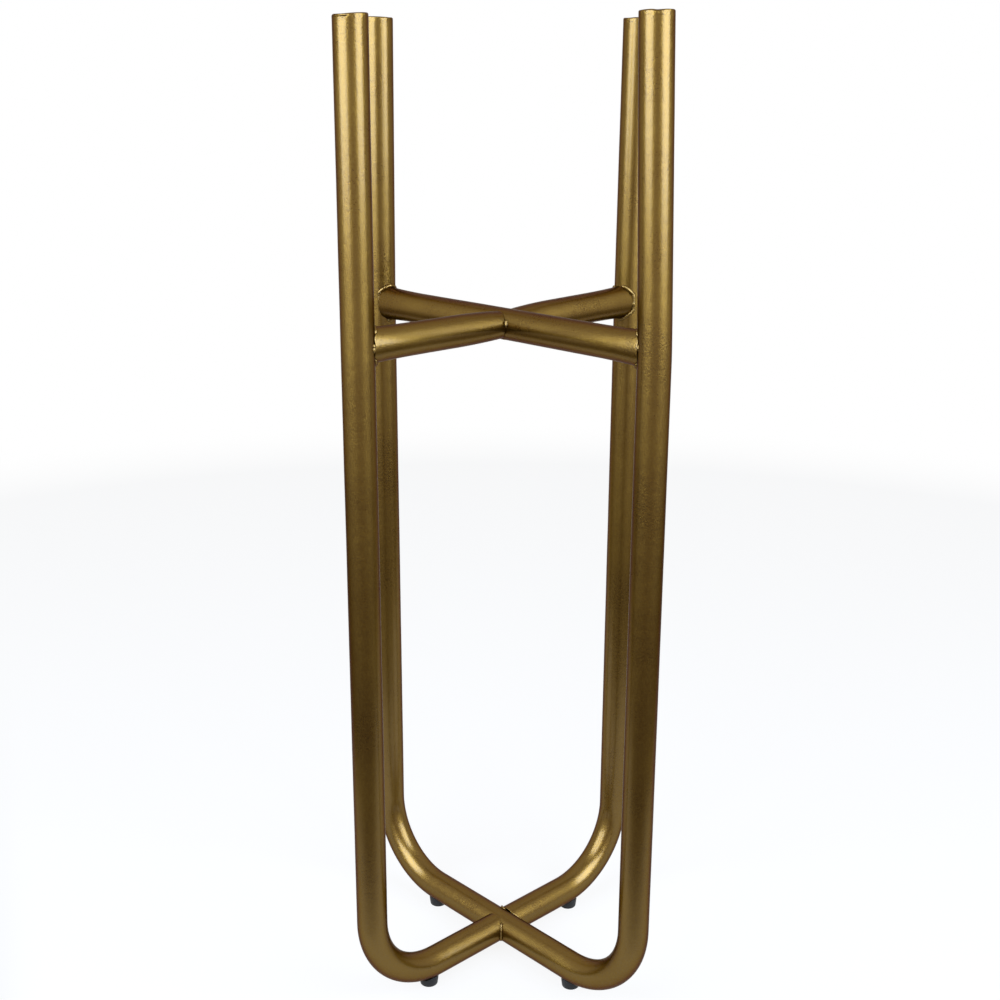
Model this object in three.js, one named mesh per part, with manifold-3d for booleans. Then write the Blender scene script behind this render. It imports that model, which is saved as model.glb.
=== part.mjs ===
// A single plant stand of bent steel tube, in millimetres, +Z up.
// Two upright frames cross at right angles under the pot. The through frame is one U of
// tube that runs from the rear left leg to the front right leg. The cross frame is two
// J tubes, one on each side, welded to the U's base run. A cross brace of the same tube
// carries the pot. Every tube end is cut nearly square, dressed to the round tube that
// it meets, and held by a weld bead. Four rubber feet push into holes in the base runs.
// The origin is on the ground, under the crossing.
import * as THREE from 'three';
import { mergeVertices } from 'three/addons/utils/BufferGeometryUtils.js';
import Module from 'manifold-3d';

const wasm = await Module();
wasm.setup();

// ---- Driving dimensions ----

const tubeRadius = 9.5; // outside radius of every tube
const tubeWall = 1.2;
const standHeight = 608; // top of the leg caps
const potRestHeight = 440; // top of the brace, where the pot stands
const throughHalfSpan = 118; // centre of the stand to a leg's axis, through frame
const crossHalfSpan = 112; // the same, cross frame
const bendRadius = 52; // centre line of the bends at the foot of each leg

const legCopeDepth = 2.5; // how far a brace end is dressed onto the leg's round
const crossingCopeDepth = 1.5; // the same, where half tubes meet a through tube

const capThickness = 2.4; // steel disc that closes a leg's top
const capEdgeRadius = 1.1; // its ground edge

const footDistance = 66; // centre of the stand to a foot's axis
const footHeight = 5; // ground to the underside of the base tubes
const footHeadRadius = 6.3;
const footTaper = 0.5; // the head is this much narrower in radius near the ground
const footEdgeRadius = 0.8; // rounding of the head's lower edge
const footStemRadius = 3;
const footBarbRadius = 4.4;
const footBarbHeight = 4;

const weldRadius = 1.7; // section of a weld bead
const weldOpening = 40; // degrees of the joint that a bead leaves open
const throughWeldOpenAt = 90; // the middle of that opening, degrees from a bead's +Z to its +Y
const crossWeldOpenAt = -90; // the same, on the cross frame's legs
const undersideOpenAt = -90; // the same, at the crossings
const jointGap = 0.3; // clearance between pieces that touch

// ---- Fineness of the facets ----

const tubeSides = 24;
const bendSteps = 10;
const weldSides = 6;
const weldSteps = 26;

// ---- Derived sizes ----

const boreRadius = tubeRadius - tubeWall;
const clearRadius = tubeRadius + jointGap; // what a neighbour of a tube is cut to
const baseAxisHeight = footHeight + tubeRadius;
const braceAxisHeight = potRestHeight - tubeRadius;
const tubeTopHeight = standHeight - capThickness - jointGap;
const legSetback = tubeRadius - legCopeDepth; // leg axis to the cut end of a brace tube
const crossingSetback = tubeRadius - crossingCopeDepth; // centre to the cut end of a half tube
const footHoleRadius = footStemRadius + jointGap;
const cutterReach = 3 * tubeRadius; // half length of a bar that clears room for a tube

// ---- Materials ----

const goldFinish = { color: 0xa58545, roughness: 0.36, metalness: 0.9 };
const rubberFinish = { color: 0x141416, roughness: 0.7, metalness: 0 };
const goldPaint = () => new THREE.MeshStandardMaterial(goldFinish);
const blackRubber = () => new THREE.MeshStandardMaterial(rubberFinish);

// ---- Solids ----

// Turns a closed geometry into a solid that can be joined and cut.
function toSolid(geometry) {
  const bare = geometry.clone();
  bare.deleteAttribute('normal');
  bare.deleteAttribute('uv');
  const merged = mergeVertices(bare, 1e-4);
  const { array: vertProperties } = merged.attributes.position;
  return new wasm.Manifold(new wasm.Mesh({ numProp: 3, vertProperties, triVerts: merged.index.array }));
}

// Turns a solid back into a geometry, without the crumbs that a cut may leave.
function toGeometry(solid) {
  const [largest] = solid.decompose().sort((a, b) => b.volume() - a.volume());
  const { vertProperties, triVerts } = largest.getMesh();
  const geometry = new THREE.BufferGeometry();
  geometry.setAttribute('position', new THREE.BufferAttribute(vertProperties, 3));
  geometry.setIndex(new THREE.BufferAttribute(triVerts, 1));
  return geometry;
}

function piece(name, solid, material) {
  const geometry = toGeometry(solid).toNonIndexed();
  geometry.computeVertexNormals();
  const mesh = new THREE.Mesh(geometry, material);
  mesh.name = name;
  return mesh;
}

// A round bar between two points.
function rod(radius, start, end) {
  const along = new THREE.Vector3().subVectors(end, start);
  const geometry = new THREE.CylinderGeometry(radius, radius, along.length(), tubeSides);
  const axis = new THREE.Vector3(0, 1, 0);
  geometry.applyQuaternion(new THREE.Quaternion().setFromUnitVectors(axis, along.normalize()));
  const middle = new THREE.Vector3().addVectors(start, end).multiplyScalar(0.5);
  return toSolid(geometry.translate(middle.x, middle.y, middle.z));
}

// A lathed shape about +Z, from [radius, height] points that start and end on the axis.
function turned(profile) {
  const points = profile.map(([radius, height]) => new THREE.Vector2(radius, height));
  return new THREE.LatheGeometry(points, tubeSides).rotateX(Math.PI / 2);
}

// Points of a quarter round on a lathe profile, from one angle to another in degrees.
function roundedCorner([radius, height], cornerRadius, from, to) {
  return [0, 0.5, 1].map((share) => {
    const angle = THREE.MathUtils.degToRad(THREE.MathUtils.lerp(from, to, share));
    return [radius + cornerRadius * Math.cos(angle), height + cornerRadius * Math.sin(angle)];
  });
}

// ---- Tubes along a path ----

// A path that is sampled only where its stations are: none along a straight run.
class StationPath extends THREE.Curve {
  constructor(stations) {
    super();
    this.stations = stations;
  }

  stationAt(share) {
    return this.stations[Math.round(share * (this.stations.length - 1))];
  }

  getPointAt(share) {
    return this.stationAt(share).point.clone();
  }

  getTangentAt(share) {
    return this.stationAt(share).tangent.clone();
  }
}

function sweep(stations, radius, hollowRadius = 0, sides = tubeSides) {
  const section = new THREE.Shape().absarc(0, 0, radius, 0, 2 * Math.PI);
  if (hollowRadius > 0) section.holes.push(new THREE.Path().absarc(0, 0, hollowRadius, 0, 2 * Math.PI));
  return new THREE.ExtrudeGeometry(section, {
    steps: stations.length - 1,
    curveSegments: sides / 2,
    bevelEnabled: false,
    extrudePath: new StationPath(stations),
  });
}

function station(x, z, tangentX, tangentZ) {
  return { point: new THREE.Vector3(x, 0, z), tangent: new THREE.Vector3(tangentX, 0, tangentZ) };
}

// The bend from the base run up into the leg on the +X side.
function bendStations(halfSpan) {
  const centreX = halfSpan - bendRadius;
  const centreZ = baseAxisHeight + bendRadius;
  return Array.from({ length: bendSteps + 1 }, (_, step) => {
    const angle = (step / bendSteps) * (Math.PI / 2);
    const x = centreX + bendRadius * Math.sin(angle);
    const z = centreZ - bendRadius * Math.cos(angle);
    return station(x, z, Math.cos(angle), Math.sin(angle));
  });
}

// One arm: a stretch of base run from startX, the bend and the leg.
function armStations(halfSpan, startX) {
  const run = station(startX, baseAxisHeight, 1, 0);
  return [run, ...bendStations(halfSpan), station(halfSpan, tubeTopHeight, 0, 1)];
}

// The same path on the -X side, walked from the leg's top to the base run.
function mirroredBack(stations) {
  return stations.map(({ point, tangent }) => station(-point.x, point.z, tangent.x, -tangent.z)).reverse();
}

function uStations(halfSpan) {
  const [, ...outer] = armStations(halfSpan, 0);
  return [...mirroredBack(outer), ...outer];
}

const vertical = (x, from, to) => [new THREE.Vector3(x, 0, from), new THREE.Vector3(x, 0, to)];

// The bar that clears a leg, over the height that a brace end needs.
function legClearance(x) {
  return rod(clearRadius, ...vertical(x, braceAxisHeight - cutterReach, braceAxisHeight + cutterReach));
}

// The bar that clears a through tube which crosses along Y at a given height.
function crossingClearance(height) {
  const start = new THREE.Vector3(0, -cutterReach, height);
  return rod(clearRadius, start, start.clone().setY(cutterReach));
}

function footHole(x) {
  return rod(footHoleRadius, ...vertical(x, 0, baseAxisHeight));
}

function throughUTube() {
  const tube = toSolid(sweep(uStations(throughHalfSpan), tubeRadius, boreRadius));
  return tube.subtract(footHole(footDistance)).subtract(footHole(-footDistance));
}

function jTube() {
  const tube = toSolid(sweep(armStations(crossHalfSpan, crossingSetback), tubeRadius, boreRadius));
  return tube.subtract(crossingClearance(baseAxisHeight)).subtract(footHole(footDistance));
}

function braceTube(startX, endX) {
  const stations = [station(startX, braceAxisHeight, 1, 0), station(endX, braceAxisHeight, 1, 0)];
  return toSolid(sweep(stations, tubeRadius, boreRadius));
}

function braceThroughTube() {
  const end = throughHalfSpan - legSetback;
  const tube = braceTube(-end, end);
  return tube.subtract(legClearance(throughHalfSpan)).subtract(legClearance(-throughHalfSpan));
}

function braceHalfTube() {
  const tube = braceTube(crossingSetback, crossHalfSpan - legSetback);
  return tube.subtract(legClearance(crossHalfSpan)).subtract(crossingClearance(braceAxisHeight));
}

// ---- Leg caps, feet and welds ----

// A disc with a ground edge. Its underside is the origin.
function legCap() {
  const corner = [tubeRadius - capEdgeRadius, capThickness - capEdgeRadius];
  const groundEdge = roundedCorner(corner, capEdgeRadius, 0, 90);
  return toSolid(turned([[0, 0], [tubeRadius, 0], ...groundEdge, [0, capThickness]]));
}

// A push-in foot: a tapered head cut to the tube above it, a stem through the tube's
// wall and a barb inside. Its origin is on the ground, under its own axis.
function rubberFoot(tubeStations) {
  const overFoot = (radius) => toSolid(sweep(tubeStations, radius).translate(-footDistance, 0, 0));
  const groundRadius = footHeadRadius - footTaper;
  const corner = [groundRadius - footEdgeRadius, footEdgeRadius];
  const lowerEdge = roundedCorner(corner, footEdgeRadius, -90, 0);
  const headTop = footHeight + tubeRadius / 2;
  const side = [[footHeadRadius, footHeight], [footHeadRadius, headTop]];
  const head = toSolid(turned([[0, 0], ...lowerEdge, ...side, [0, headTop]]));
  const boreFloor = footHeight + tubeWall;
  const barbTop = boreFloor + footBarbHeight;
  const barbProfile = [[0, boreFloor], [footBarbRadius, boreFloor], [footStemRadius, barbTop], [0, barbTop]];
  const barb = toSolid(turned(barbProfile)).intersect(overFoot(boreRadius - jointGap));
  const stem = rod(footStemRadius, ...vertical(0, footHeight / 2, boreFloor + footBarbHeight / 2));
  return head.subtract(overFoot(clearRadius)).add(stem).add(barb);
}

// A weld bead round the end of a tube that meets a tube of the same size. The tube that
// ends runs along +X; the one that it meets runs along Z through the origin. The bead
// lies in the corner between them, and starts and stops either side of openAt, an angle
// in degrees from +Z towards +Y.
function weldBead(setback, openAt) {
  const tuckedUnderEnd = setback - weldRadius + jointGap;
  const pointAt = (degrees) => {
    const angle = THREE.MathUtils.degToRad(degrees);
    const reach = tubeRadius + jointGap * Math.cos(angle) ** 2;
    const onRound = tubeRadius * Math.abs(Math.cos(angle)) + jointGap;
    const x = Math.max(onRound, tuckedUnderEnd);
    return new THREE.Vector3(x, reach * Math.sin(angle), reach * Math.cos(angle));
  };
  const start = openAt + weldOpening / 2;
  const stride = (360 - weldOpening) / weldSteps;
  const stations = Array.from({ length: weldSteps + 1 }, (_, step) => {
    const degrees = start + step * stride;
    const tangent = pointAt(degrees + 1).sub(pointAt(degrees - 1)).normalize();
    return { point: pointAt(degrees), tangent };
  });
  const bead = toSolid(sweep(stations, weldRadius, 0, weldSides));
  const met = rod(clearRadius, ...vertical(0, -cutterReach, cutterReach));
  const endFace = new THREE.Vector3(setback - jointGap, 0, 0);
  const ended = rod(clearRadius, endFace, endFace.clone().setX(cutterReach));
  return bead.subtract(met).subtract(ended);
}

// ---- Assembly ----

// One arm of a frame, on its +X side: the leg's cap, the foot and the brace's weld, which
// stays open at one side of the brace, an angle in degrees from its top.
function armPieces(label, halfSpan, tubeStations, weldOpenAt) {
  const cap = piece(`top_cap_${label}`, legCap(), goldPaint());
  cap.position.set(halfSpan, 0, standHeight - capThickness);
  const foot = piece(`rubber_foot_${label}`, rubberFoot(tubeStations), blackRubber());
  foot.position.set(footDistance, 0, 0);
  const weld = piece(`brace_weld_${label}`, weldBead(legSetback, weldOpenAt), goldPaint());
  weld.position.set(halfSpan, 0, braceAxisHeight);
  weld.rotation.z = Math.PI;
  return new THREE.Group().add(cap, foot, weld);
}

// The two welds of one half frame to the through tubes, on its +X side. They stay open
// underneath, where a torch can't reach.
function crossingWelds(label) {
  const heights = { base: baseAxisHeight, brace: braceAxisHeight };
  const welds = Object.entries(heights).map(([level, height]) => {
    const bead = weldBead(crossingSetback, undersideOpenAt);
    const weld = piece(`${level}_crossing_weld_${label}`, bead, goldPaint());
    weld.position.z = height;
    weld.rotation.x = Math.PI / 2;
    return weld;
  });
  return new THREE.Group().add(...welds);
}

// The U, its brace tube and what its two legs carry. +X points to the front right.
function throughFrame() {
  const frame = new THREE.Group();
  frame.add(piece('through_u_tube', throughUTube(), goldPaint()));
  frame.add(piece('brace_through_tube', braceThroughTube(), goldPaint()));
  const stations = armStations(throughHalfSpan, 0);
  const front = armPieces('front_right', throughHalfSpan, stations, throughWeldOpenAt);
  const rear = armPieces('rear_left', throughHalfSpan, stations, throughWeldOpenAt);
  rear.rotation.z = Math.PI;
  frame.add(front, rear);
  frame.rotation.z = -Math.PI / 4;
  return frame;
}

// One half of the cross frame: a J tube, its half brace and what its leg carries.
function halfFrame(label) {
  const half = new THREE.Group();
  half.add(piece(`j_tube_${label}`, jTube(), goldPaint()));
  half.add(piece(`brace_half_tube_${label}`, braceHalfTube(), goldPaint()));
  half.add(armPieces(label, crossHalfSpan, armStations(crossHalfSpan, 0), crossWeldOpenAt));
  half.add(crossingWelds(label));
  return half;
}

function crossFrame() {
  const rear = halfFrame('rear_right');
  const front = halfFrame('front_left');
  front.rotation.z = Math.PI;
  const frame = new THREE.Group().add(rear, front);
  frame.rotation.z = Math.PI / 4;
  return frame;
}

const plantStand = new THREE.Group().add(throughFrame(), crossFrame());

export default plantStand;
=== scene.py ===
"""A single plant stand of bent round steel tube in satin gold paint, dressed for its picture.

Two upright frames cross at right angles. The through frame is one tube bent into a U, with a
brace between its legs. The cross frame is two J tubes welded to the sides of the U, with half a
brace each. Four tapered rubber feet are pushed into the base tubes, and a ground disc closes the
top of every leg. Lengths are in millimetres until a mesh is made, and in metres from there on.
"""

import logging
import math
from dataclasses import dataclass, replace
from enum import Enum
from functools import cache
from typing import Any, Callable, Sequence

import bmesh
import bpy
import numpy as np
from bpy.types import Material, Mesh, NodeSocket, NodeTree, Object
from mathutils import Matrix, Vector


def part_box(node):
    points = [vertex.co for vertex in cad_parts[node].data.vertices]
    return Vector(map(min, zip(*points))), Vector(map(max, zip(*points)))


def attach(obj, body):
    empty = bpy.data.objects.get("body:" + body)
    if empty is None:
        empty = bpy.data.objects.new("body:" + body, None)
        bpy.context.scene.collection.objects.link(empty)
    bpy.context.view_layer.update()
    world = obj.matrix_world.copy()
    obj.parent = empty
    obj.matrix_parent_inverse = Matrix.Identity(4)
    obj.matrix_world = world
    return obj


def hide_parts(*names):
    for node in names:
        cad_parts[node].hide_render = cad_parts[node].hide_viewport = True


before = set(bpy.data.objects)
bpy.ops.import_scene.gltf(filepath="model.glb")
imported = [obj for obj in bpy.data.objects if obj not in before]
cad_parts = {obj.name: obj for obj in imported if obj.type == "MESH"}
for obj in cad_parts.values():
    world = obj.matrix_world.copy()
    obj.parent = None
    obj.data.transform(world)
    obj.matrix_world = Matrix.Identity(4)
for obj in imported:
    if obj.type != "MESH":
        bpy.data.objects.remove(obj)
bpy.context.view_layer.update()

MM = 0.001
ROOT_BODY = "root"
Triple = tuple[float, float, float]
Inputs = dict[Any, Any]

logging.basicConfig(level=logging.INFO, format="%(message)s")
log = logging.getLogger("plant_stand")


# ---------------- sizes


class Leg(Enum):
    """The four legs: the name of each, and the angle of its place round the stand in degrees."""

    FRONT_LEFT = ("front_left", -135.0)
    FRONT_RIGHT = ("front_right", -45.0)
    REAR_LEFT = ("rear_left", 135.0)
    REAR_RIGHT = ("rear_right", 45.0)

    @property
    def label(self) -> str:
        """The words that name this leg's pieces."""
        return self.value[0]

    @property
    def angle(self) -> float:
        """The direction of the leg from the middle of the stand, in radians."""
        return math.radians(self.value[1])


@dataclass(frozen=True)
class StandSizes:
    """The lengths that the pieces share, in millimetres, most of them measured on the frame."""

    tube_radius: float
    through_half_span: float
    cross_half_span: float
    base_axis: float
    brace_axis: float
    tube_top: float
    stand_top: float
    foot_distance: float
    foot_radius: float
    tube_wall: float = 1.2
    bend_radius: float = 52.0

    @classmethod
    def from_frame(cls) -> "StandSizes":
        """Reads the sizes from the boxes of the frame's own nodes.

        Returns:
            The sizes of this stand.
        """
        nodes = (
            "brace_through_tube", "through_u_tube", "j_tube_rear_right",
            "rubber_foot_rear_right", "top_cap_rear_right",
        )
        brace, u_tube, j_tube, foot, cap = (
            [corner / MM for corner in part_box(node)] for node in nodes
        )
        radius = (brace[1].z - brace[0].z) / 2
        return cls(
            tube_radius=radius,
            through_half_span=(u_tube[1].x - radius) * math.sqrt(2),
            cross_half_span=(j_tube[1].x - radius) * math.sqrt(2),
            base_axis=u_tube[0].z + radius,
            brace_axis=(brace[1].z + brace[0].z) / 2,
            tube_top=u_tube[1].z,
            stand_top=cap[1].z,
            foot_distance=(foot[0].x + foot[1].x) / 2 * math.sqrt(2),
            foot_radius=(foot[1].x - foot[0].x) / 2,
        )

    def half_span(self, leg: Leg) -> float:
        """How far the leg's axis is from the middle of the stand."""
        through = leg in (Leg.FRONT_RIGHT, Leg.REAR_LEFT)
        return self.through_half_span if through else self.cross_half_span

    def upright_end(self, half_span: float) -> float:
        """The length along a bent tube from the middle of the base to the top of its leg.

        Args:
            half_span: how far the leg's axis is from the middle.

        Returns:
            The length along the tube's axis.
        """
        bend = math.pi / 2 * self.bend_radius
        rise = self.tube_top - self.base_axis - self.bend_radius
        return half_span - self.bend_radius + bend + rise


# ---------------- node trees


def arithmetic(operation: str, swapped: bool = False) -> Callable[["Flow", Any], "Flow"]:
    """Makes an operator between a flow and a number or another flow.

    Args:
        operation: the operation of the Math node that it adds.
        swapped: whether the other value comes first.

    Returns:
        The method.
    """

    def operator(flow: "Flow", other: Any) -> "Flow":
        """Adds the node."""
        return flow.draft.math(operation, *((other, flow) if swapped else (flow, other)))

    return operator


class Flow:
    """An output inside a node tree. Sums and products of flows become Math nodes."""

    def __init__(self, draft: "NodeDraft", socket: NodeSocket) -> None:
        """Keeps the socket and the draft that new nodes go into."""
        self.draft = draft
        self.socket = socket

    def __abs__(self) -> "Flow":
        """This without its sign."""
        return self.draft.math("ABSOLUTE", self)

    __add__ = __radd__ = arithmetic("ADD")
    __mul__ = __rmul__ = arithmetic("MULTIPLY")
    __sub__, __rsub__ = arithmetic("SUBTRACT"), arithmetic("SUBTRACT", swapped=True)
    __truediv__, __rtruediv__ = arithmetic("DIVIDE"), arithmetic("DIVIDE", swapped=True)


class NodeDraft:
    """Draws nodes into one tree, for a material, a shader group or a Geometry Nodes group."""

    def __init__(self, tree: NodeTree) -> None:
        """Starts on a tree, which may be empty."""
        self.tree = tree

    def feed(self, node: Any, inputs: Inputs) -> None:
        """Links flows to a node's sockets, or sets the sockets to plain values.

        Args:
            node: the node.
            inputs: what goes into its sockets, by name or number. Colours have no alpha.
        """
        for key, value in inputs.items():
            socket = node.inputs[key]
            if isinstance(value, Flow):
                self.tree.links.new(value.socket, socket)
            else:
                socket.default_value = (*value, 1.0) if socket.type == "RGBA" else value

    def node(self, kind: str, inputs: Inputs | None = None, **settings: Any) -> Any:
        """Adds a node.

        Args:
            kind: the node's Blender type.
            inputs: what goes into its sockets, by socket name or number.
            settings: the node's own properties.

        Returns:
            The node.
        """
        made = self.tree.nodes.new(kind)
        for name, value in settings.items():
            setattr(made, name, value)
        self.feed(made, inputs or {})
        return made

    def flow(self, kind: str, output: Any, inputs: Inputs | None = None, **settings: Any) -> Flow:
        """Adds a node and returns one of its outputs, by name or number."""
        return Flow(self, self.node(kind, inputs, **settings).outputs[output])

    def math(self, operation: str, *values: Any) -> Flow:
        """Adds a Math node on up to three values."""
        return self.flow("ShaderNodeMath", 0, dict(enumerate(values)), operation=operation)

    def vector_math(self, operation: str, inputs: Inputs, output: Any = 0) -> Flow:
        """Adds a Vector Math node."""
        return self.flow("ShaderNodeVectorMath", output, inputs, operation=operation)

    def remap(
        self, value: Any, low: float, high: float, to_low: float = 0.0, to_high: float = 1.0,
        **settings: Any,
    ) -> Flow:
        """Carries a value from one range to another, and holds it at the ends."""
        inputs = {0: value, 1: low, 2: high, 3: to_low, 4: to_high}
        return self.flow("ShaderNodeMapRange", 0, inputs, **settings)

    def smooth(self, value: Any, start: float, end: float) -> Flow:
        """Goes softly from zero to one while the value goes from the start to the end."""
        return self.remap(value, start, end, interpolation_type="SMOOTHSTEP")

    def noise(self, vector: Any, scale: Any, detail: float = 2.0, rough: float = 0.5) -> Flow:
        """Adds a noise from 0 to 1, with its scale in cycles a metre."""
        inputs = {"Vector": vector, "Scale": scale, "Detail": detail, "Roughness": rough}
        return self.flow("ShaderNodeTexNoise", 0, inputs)

    def combine(self, x: Any, y: Any, z: Any) -> Flow:
        """Makes a vector of three values."""
        return self.flow("ShaderNodeCombineXYZ", 0, {0: x, 1: y, 2: z})

    def separate(self, vector: Any) -> tuple[Flow, Flow, Flow]:
        """Takes a vector apart."""
        made = self.node("ShaderNodeSeparateXYZ", {0: vector})
        return tuple(Flow(self, made.outputs[axis]) for axis in range(3))

    def mix_colour(self, factor: Any, first: Any, second: Any) -> Flow:
        """Mixes two colours."""
        inputs = {"Factor": factor, 6: first, 7: second}
        return self.flow("ShaderNodeMix", 2, inputs, data_type="RGBA")


class GroupDraft(NodeDraft):
    """A node group with named inputs, which are flows in its field given, and one output."""

    def __init__(self, name: str, kind: str, inputs: dict[str, str], output: str) -> None:
        """Makes the group.

        Args:
            name: the group's name.
            kind: the Blender type of its tree.
            inputs: the kinds of its input sockets, by their names.
            output: the kind of its output socket.
        """
        super().__init__(bpy.data.node_groups.new(name, kind))
        sockets = [(socket, "INPUT", inputs[socket]) for socket in inputs]
        for socket, way, value in [*sockets, ("Result", "OUTPUT", output)]:
            value = f"NodeSocket{value}"
            self.tree.interface.new_socket(socket, in_out=way, socket_type=value)
        start = self.tree.nodes.new("NodeGroupInput")
        self.given = {socket.name: Flow(self, socket) for socket in start.outputs}


class FormTree(GroupDraft):
    """A Geometry Nodes group with number inputs, which ends in one dressed mesh."""

    MERGE_DISTANCE = 0.002

    def __init__(self, name: str, numbers: Sequence[str]) -> None:
        """Makes the group with these number inputs."""
        inputs = {"Geometry": "Geometry", "Finish": "Material", **dict.fromkeys(numbers, "Float")}
        super().__init__(name, "GeometryNodeTree", inputs, "Geometry")

    def finish(self, mesh: Flow, turn: Any, lift: Any) -> None:
        """Merges the seams, puts the mesh in its place, and dresses it.

        Args:
            mesh: the mesh at the origin.
            turn: its Euler angles as a vector.
            lift: how far it is moved, as a vector.
        """
        for kind, inputs in (
            ("MergeByDistance", {"Distance": self.MERGE_DISTANCE * MM}),
            ("SetShadeSmooth", {}),
            ("Transform", {"Translation": lift, "Rotation": turn}),
            ("RealizeInstances", {}),
            ("SetMaterial", {"Material": self.given["Finish"]}),
        ):
            mesh = self.flow(f"GeometryNode{kind}", 0, {0: mesh, **inputs})
        self.node("NodeGroupOutput", {0: mesh})

    def grow(
        self, name: str, finish: Material, numbers: dict[str, float], seed: Mesh | None = None
    ) -> Mesh:
        """Runs the group once and returns what it makes as a plain mesh.

        Args:
            name: the name of the mesh.
            finish: the material that it is dressed in.
            numbers: values for the group's number inputs.
            seed: the mesh that the group starts from, if it reads one.

        Returns:
            The finished mesh, with its place in its points.
        """
        start = seed or bpy.data.meshes.new(f"{name}_start")
        carrier = in_scene(f"{name}_carrier", start)
        modifier = carrier.modifiers.new("form", "NODES")
        modifier.node_group = self.tree
        values = {"Finish": finish, **{key: float(value) for key, value in numbers.items()}}
        for item in self.tree.interface.items_tree:
            if item.name in values:
                modifier[item.identifier] = values[item.name]
        graph = bpy.context.evaluated_depsgraph_get()
        made = bpy.data.meshes.new_from_object(carrier.evaluated_get(graph))
        made.name = name
        bpy.data.objects.remove(carrier)
        bpy.data.meshes.remove(start)
        return made


# ---------------- plain mesh work


def in_scene(name: str, data: Any) -> Object:
    """Adds an object to the scene.

    Args:
        name: its name.
        data: its mesh, lamp or camera.

    Returns:
        The object.
    """
    made = bpy.data.objects.new(name, data)
    bpy.context.scene.collection.objects.link(made)
    return made


def circle(sides: int) -> np.ndarray:
    """The directions of the points of a ring, in radians."""
    return np.linspace(0, math.tau, sides, endpoint=False)


def ring(around: np.ndarray, out: Any, up: Any) -> np.ndarray:
    """A ring of points, in directions, at distances from the axis and at heights."""
    return np.stack(np.broadcast_arrays(out * np.cos(around), out * np.sin(around), up), 1)


def ring_mesh(name: str, rings: Sequence[np.ndarray]) -> Mesh:
    """Skins a stack of closed rings of points and closes it with a point at either end.

    Args:
        name: the name of the mesh.
        rings: arrays of the same number of points, in millimetres, from the bottom up, each
            turning to the left about +Z.

    Returns:
        A closed mesh with its faces outwards.
    """
    sides = len(rings[0])
    points = np.concatenate([rings[0].mean(0)[None], *rings, rings[-1].mean(0)[None]])
    faces: list[tuple[int, ...]] = []
    for side in range(sides):
        after = (side + 1) % sides
        faces.append((0, 1 + after, 1 + side))
        for low in range(1, 1 + (len(rings) - 1) * sides, sides):
            high = low + sides
            faces.append((low + side, low + after, high + after, high + side))
        top = 1 + (len(rings) - 1) * sides
        faces.append((top + side, top + after, len(points) - 1))
    made = bpy.data.meshes.new(name)
    made.from_pydata((points * MM).tolist(), [], faces)
    made.shade_smooth()
    return made


def joined(name: str, parts: Sequence[Mesh]) -> Mesh:
    """Puts several meshes of one finish into one.

    Args:
        name: the name of the new mesh.
        parts: the meshes.

    Returns:
        The mesh of them all.
    """
    whole = bmesh.new()
    for part in parts:
        whole.from_mesh(part)
    made = bpy.data.meshes.new(name)
    whole.to_mesh(made)
    whole.free()
    for material in parts[0].materials:
        made.materials.append(material)
    made.shade_smooth()
    return made


def place_piece(mesh: Mesh, node: str) -> None:
    """Adds a finished mesh to the scene as one named piece of the stand.

    Args:
        mesh: the finished mesh, in its place.
        node: the frame's node that it replaces.
    """
    body = bmesh.new()
    body.from_mesh(mesh)
    if body.calc_volume(signed=True) < 0:
        bmesh.ops.reverse_faces(body, faces=body.faces)
        body.to_mesh(mesh)
    open_edges = sum(not edge.is_manifold for edge in body.edges)
    body.free()
    made = in_scene(f"{node}_dressed", mesh)
    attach(made, ROOT_BODY)
    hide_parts(node)
    log.info("%s: %d faces, %d open edges", made.name, len(mesh.polygons), open_edges)


# ---------------- finishes


class EffectGroup(GroupDraft):
    """A shader group that turns a place into one value from 0 to 1."""

    def __init__(self, name: str, *numbers: str) -> None:
        """Makes the group with these number inputs besides the place."""
        inputs = {"Place": "Vector", **dict.fromkeys(numbers, "Float")}
        super().__init__(name, "ShaderNodeTree", inputs, "Float")

    def finish(self, value: Flow) -> "EffectGroup":
        """Puts the value out."""
        self.node("NodeGroupOutput", {0: value})
        return self


@cache
def paint_grain() -> EffectGroup:
    """Fine sprayed grain: rounded specks of about the given size, over a finer mist.

    Returns:
        The group, which is made once.
    """
    group = EffectGroup("paint_grain", "Size")
    place, per_metre = group.given["Place"], 1.0 / group.given["Size"]
    speck = group.noise(place, per_metre, 2.0, 0.6)
    mist = group.noise(place, per_metre * 2.7, 1.0, 0.5)
    return group.finish(group.remap(speck * 0.7 + mist * 0.3, 0.33, 0.67))


@cache
def cloudiness() -> EffectGroup:
    """Slow changes of the coat's thickness, as a spray gun leaves them.

    Returns:
        The group, which is made once.
    """
    group = EffectGroup("cloudiness", "Size")
    broad = group.noise(group.given["Place"], 1.0 / group.given["Size"], 3.0, 0.55)
    return group.finish(group.remap(broad, 0.3, 0.7))


@cache
def sparse_pits() -> EffectGroup:
    """Small round pits: most cells of a scattered grid have none, and a few have one.

    Returns:
        The group, which is made once.
    """
    group = EffectGroup("sparse_pits", "Spacing", "Share", "Radius")
    given = group.given
    inputs = {"Vector": given["Place"], "Scale": 1.0 / given["Spacing"]}
    cells = group.node("ShaderNodeTexVoronoi", inputs)
    chosen, _, _ = group.separate(Flow(group, cells.outputs["Color"]))
    rare = group.math("GREATER_THAN", chosen, 1.0 - given["Share"])
    near = Flow(group, cells.outputs["Distance"]) * given["Spacing"] / given["Radius"]
    return group.finish(rare * group.remap(near, 0.55, 1.0, 1.0, 0.0))


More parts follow.
